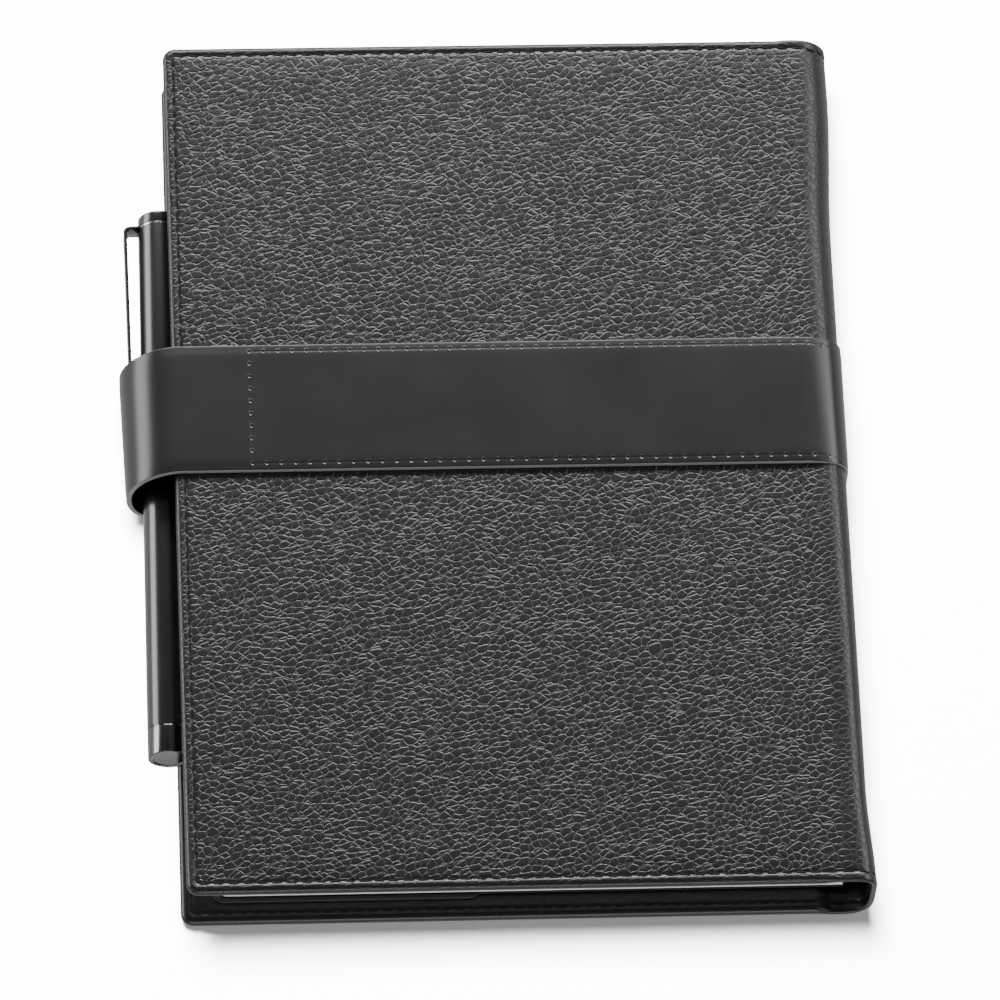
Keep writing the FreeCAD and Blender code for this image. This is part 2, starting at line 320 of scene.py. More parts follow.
def sheet(name, wrap, s_range, y_range, top, bottom, rims="s0 s1 y0 y1", radii=(0.5, 0.5), corner=0.0,
          step=(3.0, 3.0), marks=(), cuts=(), fine=(), grain_shift=0.0):
    """A sheet drawn flat and wrapped into place. top and bottom give depths from (inset, s, y).

    rims names the sides with a rounded edge. The others stay open, where another piece goes on."""
    big = 1e6
    rim = {side: side in rims.split() for side in ("s0", "s1", "y0", "y1")}
    radius = max(radii)
    length = s_range[1] - s_range[0]
    width = y_range[1] - y_range[0]
    along = side_stations(length, rim["s0"], rim["s1"], step[0], radius, marks)
    across = side_stations(width, rim["y0"], rim["y1"], step[1], radius, marks)
    added = list(cuts)
    for low, high in fine:
        added += list(np.arange(max(low, s_range[0]), min(high, s_range[1]), 0.5))
    added = [v - s_range[0] for v in added if s_range[0] + 0.2 < v < s_range[1] - 0.2]
    along = np.array(sorted(list(along) + added))
    along = along[np.concatenate([[True], np.diff(along) > 0.03])]
    along[-1] = length
    a, b = np.meshgrid(along, across, indexing="ij")
    a0 = a if rim["s0"] else a + big
    a1 = length - a if rim["s1"] else big - a
    b0 = b if rim["y0"] else b + big
    b1 = width - b if rim["y1"] else big - b
    e = np.minimum(np.minimum(a0, a1), np.minimum(b0, b1))
    s, y = a.copy(), b.copy()
    if corner > 0:
        for from_s, sign_s in ((a0, 1), (a1, -1)):
            for from_y, sign_y in ((b0, 1), (b1, -1)):
                inside = (from_s < corner) & (from_y < corner)
                p = np.where(inside, (corner - from_s) / corner, 0)
                q = np.where(inside, (corner - from_y) / corner, 0)
                p_round = p * np.sqrt(1 - q * q / 2)
                q_round = q * np.sqrt(1 - p * p / 2)
                s = s + sign_s * corner * (p - p_round)
                y = y + sign_y * corner * (q - q_round)
                e = np.where(inside, corner * (1 - np.hypot(p_round, q_round)), e)
    e = np.maximum(e, 0)
    s = s + s_range[0]
    y = y + y_range[0]
    top_depth = top(e, s, y)
    low_depth = bottom(e, s, y)
    thickness = low_depth - top_depth
    top_depth = top_depth + round_off(e, radii[0], thickness)
    low_depth = low_depth - round_off(e, radii[1], thickness)
    ni, nj = a.shape
    points = [wrap(s, y, top_depth).reshape(-1, 3), wrap(s, y, low_depth).reshape(-1, 3)]
    grain = [np.stack([s + grain_shift, y, d], -1).reshape(-1, 3) for d in (top_depth, low_depth)]
    inset = np.concatenate([np.minimum(e, 99).ravel()] * 2)
    relief = np.concatenate([calm(s).ravel(), 0.3 * calm(s).ravel()])

    def at(i, j, low):
        return low * ni * nj + i * nj + j

    faces = []
    end = ni - 1
    last = nj - 1
    for i in range(ni - 1):
        for j in range(nj - 1):
            faces.append((at(i, j, 0), at(i, j + 1, 0), at(i + 1, j + 1, 0), at(i + 1, j, 0)))
            faces.append((at(i, j, 1), at(i + 1, j, 1), at(i + 1, j + 1, 1), at(i, j + 1, 1)))
    for i in range(ni - 1):
        if rim["y0"]:
            faces.append((at(i, 0, 0), at(i + 1, 0, 0), at(i + 1, 0, 1), at(i, 0, 1)))
        if rim["y1"]:
            faces.append((at(i, last, 0), at(i, last, 1), at(i + 1, last, 1), at(i + 1, last, 0)))
    for j in range(nj - 1):
        if rim["s0"]:
            faces.append((at(0, j, 0), at(0, j, 1), at(0, j + 1, 1), at(0, j + 1, 0)))
        if rim["s1"]:
            faces.append((at(end, j, 0), at(end, j + 1, 0), at(end, j + 1, 1), at(end, j, 1)))
    piece = make_mesh(name, np.concatenate(points), faces,
                      {"grain": np.concatenate(grain), "inset": inset, "relief": relief}, orient=False)
    weld(piece)
    return piece


def weld(piece):
    """Joins points that lie on each other."""
    work = bmesh.new()
    work.from_mesh(piece.data)
    bmesh.ops.remove_doubles(work, verts=work.verts, dist=1e-6)
    work.to_mesh(piece.data)
    work.free()


def band(first, second, count):
    """Faces between two closed rings of count points, which start at these numbers."""
    found = []
    for q in range(count):
        n = (q + 1) % count
        found.append((first + q, first + n, second + n, second + q))
    return found


STITCH_SHARE = 0.8
STITCH_SLANT = 0.12
STITCH_STATIONS = (-1.0, -0.86, -0.6, -0.2, 0.2, 0.6, 0.86, 1.0)


def thread_run(name, wrap, runs, depth, radius, sink=0.38, side=1, origin=None):
    """Single stitches along straight runs (s0, y0, s1, y1) drawn flat. depth is a function of (s, y).

    A stitch's ends sink by sink, to the side given. With an origin, the stitches of lengthwise runs start
    and end at whole pitches from it."""
    ts = STITCH_STATIONS
    sides = 8
    points, faces, grain = [], [], []
    for s0, y0, s1, y1 in runs:
        run = math.hypot(s1 - s0, y1 - y0)
        count = max(1, int(round(run / STITCH_PITCH)))
        gap = run / count
        ds, dy = (s1 - s0) / run, (y1 - y0) / run
        middles = [(k + 0.5) * gap for k in range(count)]
        if origin is not None and y1 == y0:
            gap = STITCH_PITCH
            first = math.ceil((s0 - origin) / gap - 0.5)
            last = math.ceil((s1 - origin) / gap - 0.5)
            middles = [origin + (k + 0.5) * gap - s0 for k in range(first, last)]
        half = gap * STITCH_SHARE / 2
        for k, middle in enumerate(middles):
            tilt = STITCH_SLANT + rng.uniform(-0.03, 0.03)
            base = len(points) * len(ts) * sides
            ring = []
            for t in ts:
                along = middle + t * half
                aside = t * half * tilt
                thick = radius * math.sqrt(max(1 - 0.75 * t ** 6, 0.1))
                lift = sink * t ** 6
                for q in range(sides):
                    turn = 2 * math.pi * q / sides
                    off = aside + thick * 1.05 * math.cos(turn)
                    deep = side * (lift + thick * math.sin(turn))
                    ring.append((s0 + ds * along - dy * off, y0 + dy * along + ds * off, deep))
            points.append(np.array(ring))
            grain.append(np.array([(k * gap + t * half, 0.3 * math.cos(2 * math.pi * q / sides),
                                    0.3 * math.sin(2 * math.pi * q / sides))
                                   for t in ts for q in range(sides)]))
            for r in range(len(ts) - 1):
                faces += band(base + r * sides, base + (r + 1) * sides, sides)
            faces.append(tuple(base + q for q in range(sides)))
            faces.append(tuple(base + (len(ts) - 1) * sides + q for q in range(sides)))
    flat = np.concatenate(points)
    placed = wrap(flat[:, 0], flat[:, 1], flat[:, 2] + depth(flat[:, 0], flat[:, 1]))
    return make_mesh(name, placed, faces, {"grain": np.concatenate(grain)})


# Materials


def node(tree, kind, inputs=None, **settings):
    """A new node, with numbers or other nodes' outputs on its inputs."""
    made = tree.nodes.new(kind)
    for key, value in settings.items():
        setattr(made, key, value)
    for key, value in (inputs or {}).items():
        if isinstance(value, bpy.types.NodeSocket):
            tree.links.new(value, made.inputs[key])
        else:
            made.inputs[key].default_value = value
    return made


def calc(tree, operation, *values):
    return node(tree, "ShaderNodeMath", dict(enumerate(values)), operation=operation).outputs[0]


def vector_node(tree, operation, first, second):
    return node(tree, "ShaderNodeVectorMath", {0: first, 1: second}, operation=operation).outputs[0]


def mix(tree, share, first, second, blend_type="MIX"):
    return node(tree, "ShaderNodeMixRGB", {0: share, 1: first, 2: second}, blend_type=blend_type).outputs[0]


def field(tree, name):
    """One of the mesh's own values: its inset from the rim, or its share of the relief."""
    return node(tree, "ShaderNodeAttribute", attribute_name=name).outputs["Fac"]


def from_rim(tree, near, far, low, high):
    """low up to near millimetres from the mesh's rim, high from far on, and an even change between."""
    made = node(tree, "ShaderNodeMapRange", {"Value": field(tree, "inset"), "From Min": near, "From Max": far,
                                             "To Min": low, "To Max": high})
    return made.outputs["Result"]


def feed(tree, shader, **sources):
    """Links outputs to the shader's sockets. An underscore stands for a space in a socket's name."""
    for key, source in sources.items():
        tree.links.new(source, shader.inputs[key.replace("_", " ")])


def new_material(name, **values):
    """A material, its node tree and its shader, with plain values set on the shader's sockets."""
    material = bpy.data.materials.new(name)
    material.use_nodes = True
    tree = material.node_tree
    shader = tree.nodes["Principled BSDF"]
    for key, value in values.items():
        shader.inputs[key.replace("_", " ")].default_value = value
    return material, tree, shader


def drawn_place(tree):
    """The flat drawing coordinates in millimetres."""
    return node(tree, "ShaderNodeAttribute", attribute_name="grain").outputs["Vector"]


def ramp(tree, value, stops):
    """A colour ramp. A stop is a place and a grey level or a colour."""
    made = node(tree, "ShaderNodeValToRGB", {"Fac": value})
    while len(made.color_ramp.elements) < len(stops):
        made.color_ramp.elements.new(0.5)
    for element, (place, colour) in zip(made.color_ramp.elements, stops):
        element.position = place
        if not isinstance(colour, tuple):
            colour = (colour, colour, colour)
        element.color = (*colour, 1)
    return made.outputs["Color"]


def noise(tree, vector, scale, detail=2.0, roughness=0.5):
    return node(tree, "ShaderNodeTexNoise", {"Vector": vector, "Scale": scale, "Detail": detail,
                                             "Roughness": roughness}).outputs["Fac"]


def bump(tree, height, strength, distance):
    return node(tree, "ShaderNodeBump", {"Height": height, "Strength": strength,
                                         "Distance": distance}).outputs["Normal"]


# Millimetres: a pebble's length, width and depth in the grain's own turned directions
PEBBLE_SIZE = (2.2, 1.48, 2.0)
PEBBLE_TURN = math.radians(22)
PEBBLE_HEIGHT = 0.000078


def pebbled_leather(name):
    """Drum-dyed calf with an elongated pebble grain, small creases and pores; its colour is darkest in the
    valleys between pebbles, which is painted shade, and palest on the crests.
    """
    material, tree, shader = new_material(name, Specular_IOR_Level=0.4)
    base = drawn_place(tree)
    drift = node(tree, "ShaderNodeTexNoise", {"Vector": base, "Scale": 0.045, "Detail": 1.5}).outputs["Color"]
    sway = vector_node(tree, "MULTIPLY", vector_node(tree, "SUBTRACT", drift, (0.5, 0.5, 0.5)), (5, 5, 0))
    fine = node(tree, "ShaderNodeTexNoise", {"Vector": base, "Scale": 0.55, "Detail": 2.0}).outputs["Color"]
    jog = vector_node(tree, "MULTIPLY", fine, (0.7, 0.7, 0.7))
    moved = vector_node(tree, "ADD", vector_node(tree, "ADD", base, sway), jog)
    turned = node(tree, "ShaderNodeMapping", {"Vector": moved, "Rotation": (0, 0, PEBBLE_TURN)}).outputs[0]
    cells = vector_node(tree, "MULTIPLY", turned, [1 / size for size in PEBBLE_SIZE])
    nearest, second = [node(tree, "ShaderNodeTexVoronoi", {"Vector": cells, "Scale": 1.0, "Randomness": 0.85},
                            feature=feature).outputs["Distance"] for feature in ("F1", "F2")]
    gap = calc(tree, "SUBTRACT", second, nearest)
    lip = ramp(tree, gap, [(0.0, 0.0), (0.075, 0.42), (0.155, 0.87), (0.26, 1.0)])
    crown = calc(tree, "MULTIPLY_ADD", nearest, -0.3, 0.3)
    height = calc(tree, "ADD", lip, crown)
    small = vector_node(tree, "MULTIPLY", cells, (2.1, 1.7, 2.0))
    crease = node(tree, "ShaderNodeTexVoronoi", {"Vector": small, "Scale": 1.0, "Randomness": 1.0},
                  feature="DISTANCE_TO_EDGE").outputs["Distance"]
    height = calc(tree, "MULTIPLY_ADD", ramp(tree, crease, [(0.0, 0.0), (0.12, 1.0)]), 0.14, height)
    pores = noise(tree, base, 5.0, 3.0, 0.6)
    pressed = from_rim(tree, 1.9, 3.4, 0.6, 1.0)
    height = calc(tree, "MULTIPLY", height, pressed)
    height = calc(tree, "MULTIPLY", height, field(tree, "relief"))
    height = calc(tree, "MULTIPLY_ADD", pores, 0.05, height)
    # Painted shade: the base colour is darkest in the valleys between pebbles, where shade falls, and palest
    # on the pebbles' flat tops.
    shade = ramp(tree, lip, [(0.0, 0.002), (0.5, 0.006), (1.0, 0.008)])
    mottle = ramp(tree, noise(tree, base, 0.02, 2.0), [(0.3, 0.86), (0.7, 1.12)])
    feed(tree, shader, Base_Color=mix(tree, 1.0, shade, mottle, "MULTIPLY"),
         Roughness=ramp(tree, lip, [(0.0, 0.42), (1.0, 0.31)]), Normal=bump(tree, height, 1.0, PEBBLE_HEIGHT))
    return material


def hole_row(tree, beside, along, past_end):
    """The square of the distance to a row of holes, with a penalty past the row's end."""
    squares = [calc(tree, "MULTIPLY", side, side) for side in (beside, along)]
    outside = calc(tree, "MAXIMUM", calc(tree, "SUBTRACT", past_end, 0.3), 0.0)
    return calc(tree, "ADD", calc(tree, "ADD", *squares), outside)


def pricked_holes(tree, vector):
    """Distance in millimetres to the nearest needle hole along the strap's seams."""
    split = node(tree, "ShaderNodeSeparateXYZ", {0: vector}).outputs
    line = STRAP_HALF - STRAP_SEAM
    gap = 2 * line / round(2 * line / STITCH_PITCH)
    across = calc(tree, "ABSOLUTE", calc(tree, "SUBTRACT", split["Y"], STRAP_Y))
    beside = calc(tree, "SUBTRACT", across, line)
    past = calc(tree, "SUBTRACT", split["X"], STRAP_COLUMN)
    step = calc(tree, "PINGPONG", past, STITCH_PITCH / 2)
    rise = calc(tree, "PINGPONG", calc(tree, "SUBTRACT", split["Y"], STRAP_Y - line), gap / 2)
    nearest = calc(tree, "MINIMUM", hole_row(tree, beside, step, past), hole_row(tree, past, rise, beside))
    return calc(tree, "SQRT", nearest)


# Near black painted into the needle holes: painted shade inside them.
HOLE_PAINTED_SHADE = (0.0008, 0.0008, 0.0008, 1)


def smooth_leather(name, tone=1.0, rough=0.3, pricked=False, rim_tone_and_highlight=0.02):
    """Box calf: smooth, semi-gloss, with faint hair pores, soft waves and a pared edge of its own tone; a
    pale edge tone, as on the strap, is partly the cut edge's own tone and partly a painted highlight where
    the rim catches light.

    Where it is pricked, needle holes show along the strap's seams, as dents coloured near black: painted
    shade inside the holes."""
    material, tree, shader = new_material(name, Specular_IOR_Level=0.5)
    base = drawn_place(tree)
    pores = noise(tree, base, 3.2, 4.0, 0.65)
    waves = noise(tree, base, 0.05, 2.0)
    edge = from_rim(tree, 0.0, 0.16, 1.0, 0.0)
    shade = ramp(tree, waves, [(0.3, 0.0055 * tone), (0.7, 0.0065 * tone)])
    # The rim's colour: on the strap a pale grey, partly the cut edge's own tone and partly a painted
    # highlight where the rim catches light.
    colour = mix(tree, edge, shade, (rim_tone_and_highlight, rim_tone_and_highlight, rim_tone_and_highlight, 1))
    height = calc(tree, "MULTIPLY_ADD", waves, 3.0, pores)
    if pricked:
        away = pricked_holes(tree, base)
        shape = ramp(tree, away, [(0.24, 0.0), (0.4, 0.85), (0.5, 1.0), (0.8, 0.84)])
        height = calc(tree, "MULTIPLY_ADD", shape, 17.0, height)
        # Painted shade: the bottoms of the holes are coloured near black.
        colour = mix(tree, ramp(tree, away, [(0.3, 0.0), (0.4, 1.0)]), HOLE_PAINTED_SHADE, colour)
    gloss = ramp(tree, waves, [(0.25, rough - 0.01), (0.75, rough + 0.015)])
    feed(tree, shader, Base_Color=colour, Roughness=gloss, Normal=bump(tree, height, 0.35, 0.00003))
    return material


PLY_TURN = math.radians(38)


def thread_material(name):
    """Waxed black thread: three plies in a twist."""
    material, tree, shader = new_material(name, Roughness=0.6, Specular_IOR_Level=0.2)
    turned = node(tree, "ShaderNodeMapping", {"Vector": drawn_place(tree), "Rotation": (0, 0, PLY_TURN)})
    twist = vector_node(tree, "MULTIPLY", turned.outputs[0], (5.5, 3.0, 3.0))
    plies = node(tree, "ShaderNodeTexWave", {"Vector": twist, "Scale": 0.9, "Distortion": 0.6},
                 wave_type="BANDS", bands_direction="X").outputs["Fac"]
    feed(tree, shader, Base_Color=ramp(tree, plies, [(0.0, 0.003), (1.0, 0.010)]),
         Normal=bump(tree, plies, 0.7, 0.00006))
    return material


def woven_lining(name, dark, light):
    """Close plain weave, one thread each 0.4 mm."""
    material, tree, shader = new_material(name, Roughness=0.85, Specular_IOR_Level=0.2, Sheen_Weight=0.25)
    vector = drawn_place(tree)
    parts = []
    for axis in ("X", "Y"):
        parts.append(node(tree, "ShaderNodeTexWave", {"Vector": vector, "Scale": 0.8, "Distortion": 0.5,
                                                      "Detail Scale": 3.0},
                          wave_type="BANDS", bands_direction=axis).outputs["Fac"])
    weave = calc(tree, "MULTIPLY", parts[0], parts[1])
    height = calc(tree, "MULTIPLY_ADD", noise(tree, vector, 0.5, 3.0), 0.5, weave)
    feed(tree, shader, Base_Color=ramp(tree, weave, [(0.0, dark), (1.0, light)]),
         Normal=bump(tree, height, 0.6, 0.0001))
    return material


def object_noise(tree, scale, detail, stretch=(1, 1, 1)):
    place = node(tree, "ShaderNodeTexCoord").outputs["Object"]
    return noise(tree, vector_node(tree, "MULTIPLY", place, stretch), scale, detail)


RULING = 7.0
RULED_HALF = 92.0
INK = (0.42, 0.45, 0.5, 1)


def paper_material(name):
    """Uncoated paper: faint fibres, and ruled lines on the open pages."""
    material, tree, shader = new_material(name, Roughness=0.9, Specular_IOR_Level=0.2)
    vector = drawn_place(tree)
    across = node(tree, "ShaderNodeSeparateXYZ", {0: vector}).outputs["Y"]
    fibres = noise(tree, vector, 1.2, 4.0, 0.6)
    base = ramp(tree, fibres, [(0.2, (0.86, 0.85, 0.82)), (0.8, (0.93, 0.92, 0.89))])
    line = calc(tree, "LESS_THAN", calc(tree, "PINGPONG", across, RULING / 2), 0.09)
    inside = calc(tree, "LESS_THAN", calc(tree, "ABSOLUTE", across), RULED_HALF)
    feed(tree, shader, Base_Color=mix(tree, calc(tree, "MULTIPLY", line, inside), base, INK),
         Normal=bump(tree, fibres, 0.2, 0.00003))
    return material


def spread(value, low, high):
    """Two stops of a ramp, a little under and a little over a value."""
    return [(0.2, value * low), (0.8, value * high)]


def board_material(name, dark, light, rough):
    """Card or book cloth with fine flecks."""
    material, tree, shader = new_material(name, Roughness=rough, Specular_IOR_Level=0.3)
    fleck = object_noise(tree, 900.0, 5.0)
    feed(tree, shader, Base_Color=ramp(tree, fleck, [(0.3, dark), (0.7, light)]),
         Normal=bump(tree, fleck, 0.3, 0.00004))
    return material


def metal_material(name, dark, light, rough, brushed):
    """Plated metal with fine polish marks, lengthwise where it is brushed."""
    material, tree, shader = new_material(name, Metallic=1.0)
    marks = object_noise(tree, 300.0, 4.0, (8, 0.25, 8) if brushed else (1, 1, 1))
    feed(tree, shader, Base_Color=ramp(tree, marks, [(0.3, dark), (0.7, light)]),
         Roughness=ramp(tree, marks, spread(rough, 0.8, 1.3)), Normal=bump(tree, marks, 0.08, 0.00001))
    return material


def lacquer_material(name, tone, rough, coat):
    """Black lacquer with a faint orange-peel and light handling marks."""
    material, tree, shader = new_material(name, Specular_IOR_Level=0.5, Coat_Weight=coat, Coat_Roughness=0.14)
    peel = object_noise(tree, 700.0, 2.0)
    handling = object_noise(tree, 60.0, 4.0, (1, 0.3, 1))
    feed(tree, shader, Base_Color=ramp(tree, handling, [(0.3, tone * 0.8), (0.7, tone * 1.2)]),
         Roughness=ramp(tree, handling, spread(rough, 0.85, 1.25)), Normal=bump(tree, peel, 0.05, 0.00002))
    return material


def plastic_material(name, tone, rough):
    """Moulded plastic with a fine frost."""
    material, tree, shader = new_material(name, Specular_IOR_Level=0.5)
    frost = object_noise(tree, 1500.0, 3.0)
    feed(tree, shader, Base_Color=ramp(tree, frost, spread(tone, 0.85, 1.15)),
         Roughness=ramp(tree, frost, spread(rough, 0.9, 1.1)), Normal=bump(tree, frost, 0.15, 0.00002))
    return material


pebble = pebbled_leather("pebbled_leather")
# The strap's pale rim tone is partly a painted highlight.
strap_skin = smooth_leather("strap_leather", pricked=True, rim_tone_and_highlight=0.2)
pocket_skin = smooth_leather("pocket_leather", tone=1.3, rough=0.48)
black_thread = thread_material("black_thread")
lining_cloth = woven_lining("lining_cloth", 0.012, 0.05)
paper = paper_material("paper")
card = board_material("refill_card", 0.03, 0.05, 0.7)
tape_cloth = board_material("binding_cloth", 0.012, 0.03, 0.75)
nickel = metal_material("nickel", (0.55, 0.54, 0.52), (0.68, 0.67, 0.65), 0.28, False)
lacquer = lacquer_material("pen_lacquer", 0.009, 0.25, 0.4)
polished = metal_material("pen_polished", (0.10, 0.10, 0.105), (0.16, 0.16, 0.165), 0.16, True)
steel = metal_material("pen_steel", (0.5, 0.5, 0.51), (0.62, 0.62, 0.63), 0.2, True)
plastic = plastic_material("pen_plastic", 0.02, 0.4)


def finish_piece(piece, material, body=None, blend=None, nodes=()):
    """Gives a piece its material and hides the CAD nodes it stands for. A piece with a blend is baked where
    it stands and follows no body; any other follows the body given.
    """
    piece.data.materials.clear()
    piece.data.materials.append(material)
    if nodes:
        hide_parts(*nodes)
    if blend:
        first, second, start, end = blend
        tuple(to_row(*start))
        tuple(to_row(*end))
        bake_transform(piece)
    else:
        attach(piece, body)


# Where the skin, the lining and the strap turn from one body to the next
BLENDS = [
    ("back_cover", "spine_lower", (150.5, 0, 3), (157.8, 0, 3)),
    ("spine_lower", "spine_mid", (160, 0, 4.6), (160, 0, 12.2)),
    ("spine_mid", "spine_upper", (160, 0, 12.2), (160, 0, 19.3)),
    ("spine_upper", "front_cover", (157.6, 0, 21), (150.5, 0, 21)),
]
REGION_NAMES = ["back", "spine_low", "spine_high", "front"]
REGION_RIMS = ["s0 y0 y1", "y0 y1", "y0 y1", "s1 y0 y1"]
WRAPS = [back_wrap, cover_wrap, cover_wrap, cover_wrap]
BENT = (1, 2)
# Closer stations where the leather bends: from the back cover into the spine, and into the front cover
LOW_BEND = (FLAT - 2, FLAT + 14)
HIGH_BEND = (COVER_RUN - FLAT - 14, COVER_RUN - FLAT + 2)


def layer_nodes(layer):
    """The CAD nodes of one layer of the cover, region by region."""
    spine = "spine_" + layer
    return [["back_" + layer], [spine + "_lower", spine + "_mid"], [spine + "_upper"], ["front_" + layer]]


def regions(first, last):
    """The four runs of s that a piece round the whole cover is made in."""
    return list(zip([first] + SEAMS, SEAMS + [last]))


def pressed_seam(distance, depth, width):
    """The groove that a seam pulls into the leather."""
    return depth * np.exp(-(distance / width) ** 2)


def skin_top(e, s, y):
    """Leather pulled down by the edge seam, and a slight fullness of the rolled edge outside it."""
    seam = pressed_seam(e - EDGE_SEAM, 0.17, 0.34)
    return seam + 0.10 * smooth((e - 1.2) / 1.4) - 0.10 * smooth((e - 3.0) / 5.0)


def skin_bottom(e, s, y):
    """The inside face: turn-in round the edges, and a shallow step where the lining lies."""
    return wall(s) - pressed_seam(e - EDGE_SEAM, 0.16, 0.34) - 0.25 * smooth((e - 13.6) / 0.6)


def make_skin():
    marks = [0.25, 0.45, 0.6, 0.75, 0.9, 1.05, 1.2, 1.5, 2.0, 2.8, 4.0, 6.0, 9.0, 12.1, 12.4, 12.7]
    replaced = layer_nodes("leather")
    replaced[0].append("back_board")
    replaced[3].append("front_board")
    for k, run in enumerate(regions(0.0, COVER_RUN)):
        piece = sheet(REGION_NAMES[k] + "_skin", WRAPS[k], run, (-HALF_LENGTH, HALF_LENGTH), skin_top,
                      skin_bottom, REGION_RIMS[k], radii=(1.45, 1.45), corner=3.0,
                      step=(0.5 if k in BENT else 2.5, 2.5), marks=marks, fine=[LOW_BEND, HIGH_BEND])
        finish_piece(piece, pebble, blend=BLENDS[k], nodes=replaced[k])


make_skin()


# The strap: a band over each part of the cover, and the loop that goes on from it round the pen

STRAP_Y0 = STRAP_Y - STRAP_HALF
STRAP_Y1 = STRAP_Y + STRAP_HALF
STRAP_RUNS = regions(-5.5, COVER_RUN - LOOP_START)
STRAP_NODES = [["strap_back"], *layer_nodes("strap")[1:3], ["strap_front"]]
STRAP_THREAD = 0.17


def strap_level(s):
    """Depth of the strap's outer face: full thickness on the covers, pulled tight round the spine."""
    low = smooth((s - FLAT - 1) / 6)
    high = smooth((COVER_RUN - FLAT - 1 - s) / 6)
    return -STRAP + 0.65 * low * high


def strap_groove(s, y):
    """The line pressed in along the strap's seams, and across it where the loop begins."""
    across = np.abs(np.abs(y - STRAP_Y) - STRAP_HALF + STRAP_SEAM)
    sewn = smooth((STRAP_COLUMN + 0.6 - s) / 0.8)
    inside = smooth((STRAP_HALF - STRAP_SEAM + 0.6 - np.abs(y - STRAP_Y)) / 0.8)
    long_line = pressed_seam(across, 0.03, 0.22) * sewn
    return np.maximum(long_line, pressed_seam(s - STRAP_COLUMN, 0.03, 0.22) * inside)


def strap_fall(e):
    """The strap is a little fuller in its middle than near its edges."""
    return 0.10 * smooth((3.0 - e) / 3.0)


def strap_top(e, s, y):
    return strap_level(s) + strap_groove(s, y) + strap_fall(e)


def strap_bottom(e, s, y):
    """The strap's inner face, a hair into the cover's leather, and clear of it past the fore-edge."""
    return np.where(s < 0, -0.035, 0.05) + 0 * s


def make_strap():
    near = [-0.9, -0.5, -0.3, -0.15, 0, 0.15, 0.3, 0.5, 0.9]
    marks = [STRAP_SEAM + m - 0.28 for m in near] + [3.4, 5.0]
    cuts = [[-0.05, 0.05], [], [], [STRAP_COLUMN + m for m in near]]
    for k, run in enumerate(STRAP_RUNS):
        piece = sheet("strap_" + REGION_NAMES[k], WRAPS[k], run, (STRAP_Y0, STRAP_Y1), strap_top,
                      strap_bottom, "s0 y0 y1" if k == 0 else "y0 y1", radii=(0.28, 0.15), corner=2.0,
                      step=(0.5 if k in BENT else 2.5, 2.0), marks=marks, cuts=cuts[k],
                      fine=[LOW_BEND] if k == 0 else [HIGH_BEND])
        finish_piece(piece, strap_skin, blend=BLENDS[k], nodes=STRAP_NODES[k])
    loop = sheet("strap_loop", loop_wrap, (0, float(LOOP_LENGTHS[-1])), (STRAP_Y0, STRAP_Y1),
                 lambda e, s, y: strap_fall(e) + 0 * s, lambda e, s, y: STRAP + 0 * s,
                 "s1 y0 y1", radii=(0.22, 0.12), corner=2.0, step=(0.8, 2.0), marks=marks,
                 grain_shift=STRAP_RUNS[3][1])
    finish_piece(loop, strap_skin, nodes=["pen_loop"],
                 blend=("front_cover", "pen_loop", (3.0, 0, 23.0), (-1.9, 0, 17.1)))
    low = STRAP_Y0 + STRAP_SEAM
    high = STRAP_Y1 - STRAP_SEAM
    for k, (start, end) in enumerate(regions(3.4, STRAP_COLUMN)):
        runs = [(start, low, end, low), (start, high, end, high)]
        if k == 3:
            runs.append((end, low, end, high))
        threads = thread_run("strap_thread_" + REGION_NAMES[k], WRAPS[k], runs,
                             lambda s, y: strap_level(s) + 0.21, STRAP_THREAD, origin=STRAP_COLUMN)
        finish_piece(threads, black_thread, blend=BLENDS[k])


make_strap()


COVER_THREAD = 0.25


def make_cover_threads():
    """The seam all round the cover, on its outer face and on its inner face."""
    edge = HALF_LENGTH - EDGE_SEAM
    faces = (("outer", lambda s, y: 0.22 + 0 * s, 1), ("inner", lambda s, y: wall(s) - 0.14, -1))
    for k, (start, end) in enumerate(regions(EDGE_SEAM, COVER_RUN - EDGE_SEAM)):
        runs = [(start, -edge, end, -edge), (start, edge, end, edge)]
        if k not in BENT:
            fore = start if k == 0 else end
            runs.append((fore, -edge, fore, edge))
        for face, level, side in faces:
            name = REGION_NAMES[k] + "_thread_" + face
            threads = thread_run(name, WRAPS[k], runs, level, COVER_THREAD, side=side)
            finish_piece(threads, black_thread, blend=BLENDS[k])


make_cover_threads()


# Inside: lining, pockets and the sleeve for the refill's back card

LINING_INSET = 14.0


def make_linings():
    edge = HALF_LENGTH - LINING_INSET
    replaced = layer_nodes("lining")
    for k, run in enumerate(regions(LINING_INSET, COVER_RUN - LINING_INSET)):
        piece = sheet("lining_" + REGION_NAMES[k], WRAPS[k], run, (-edge, edge),
                      lambda e, s, y: wall(s) - 0.32, lambda e, s, y: wall(s) - 0.02, REGION_RIMS[k],
                      radii=(0.0, 0.22), corner=1.0, step=(0.5 if k in BENT else 4.0, 5.0),
                      marks=[1.0, 3.0], fine=[LOW_BEND, HIGH_BEND])
        finish_piece(piece, lining_cloth, blend=BLENDS[k], nodes=replaced[k])


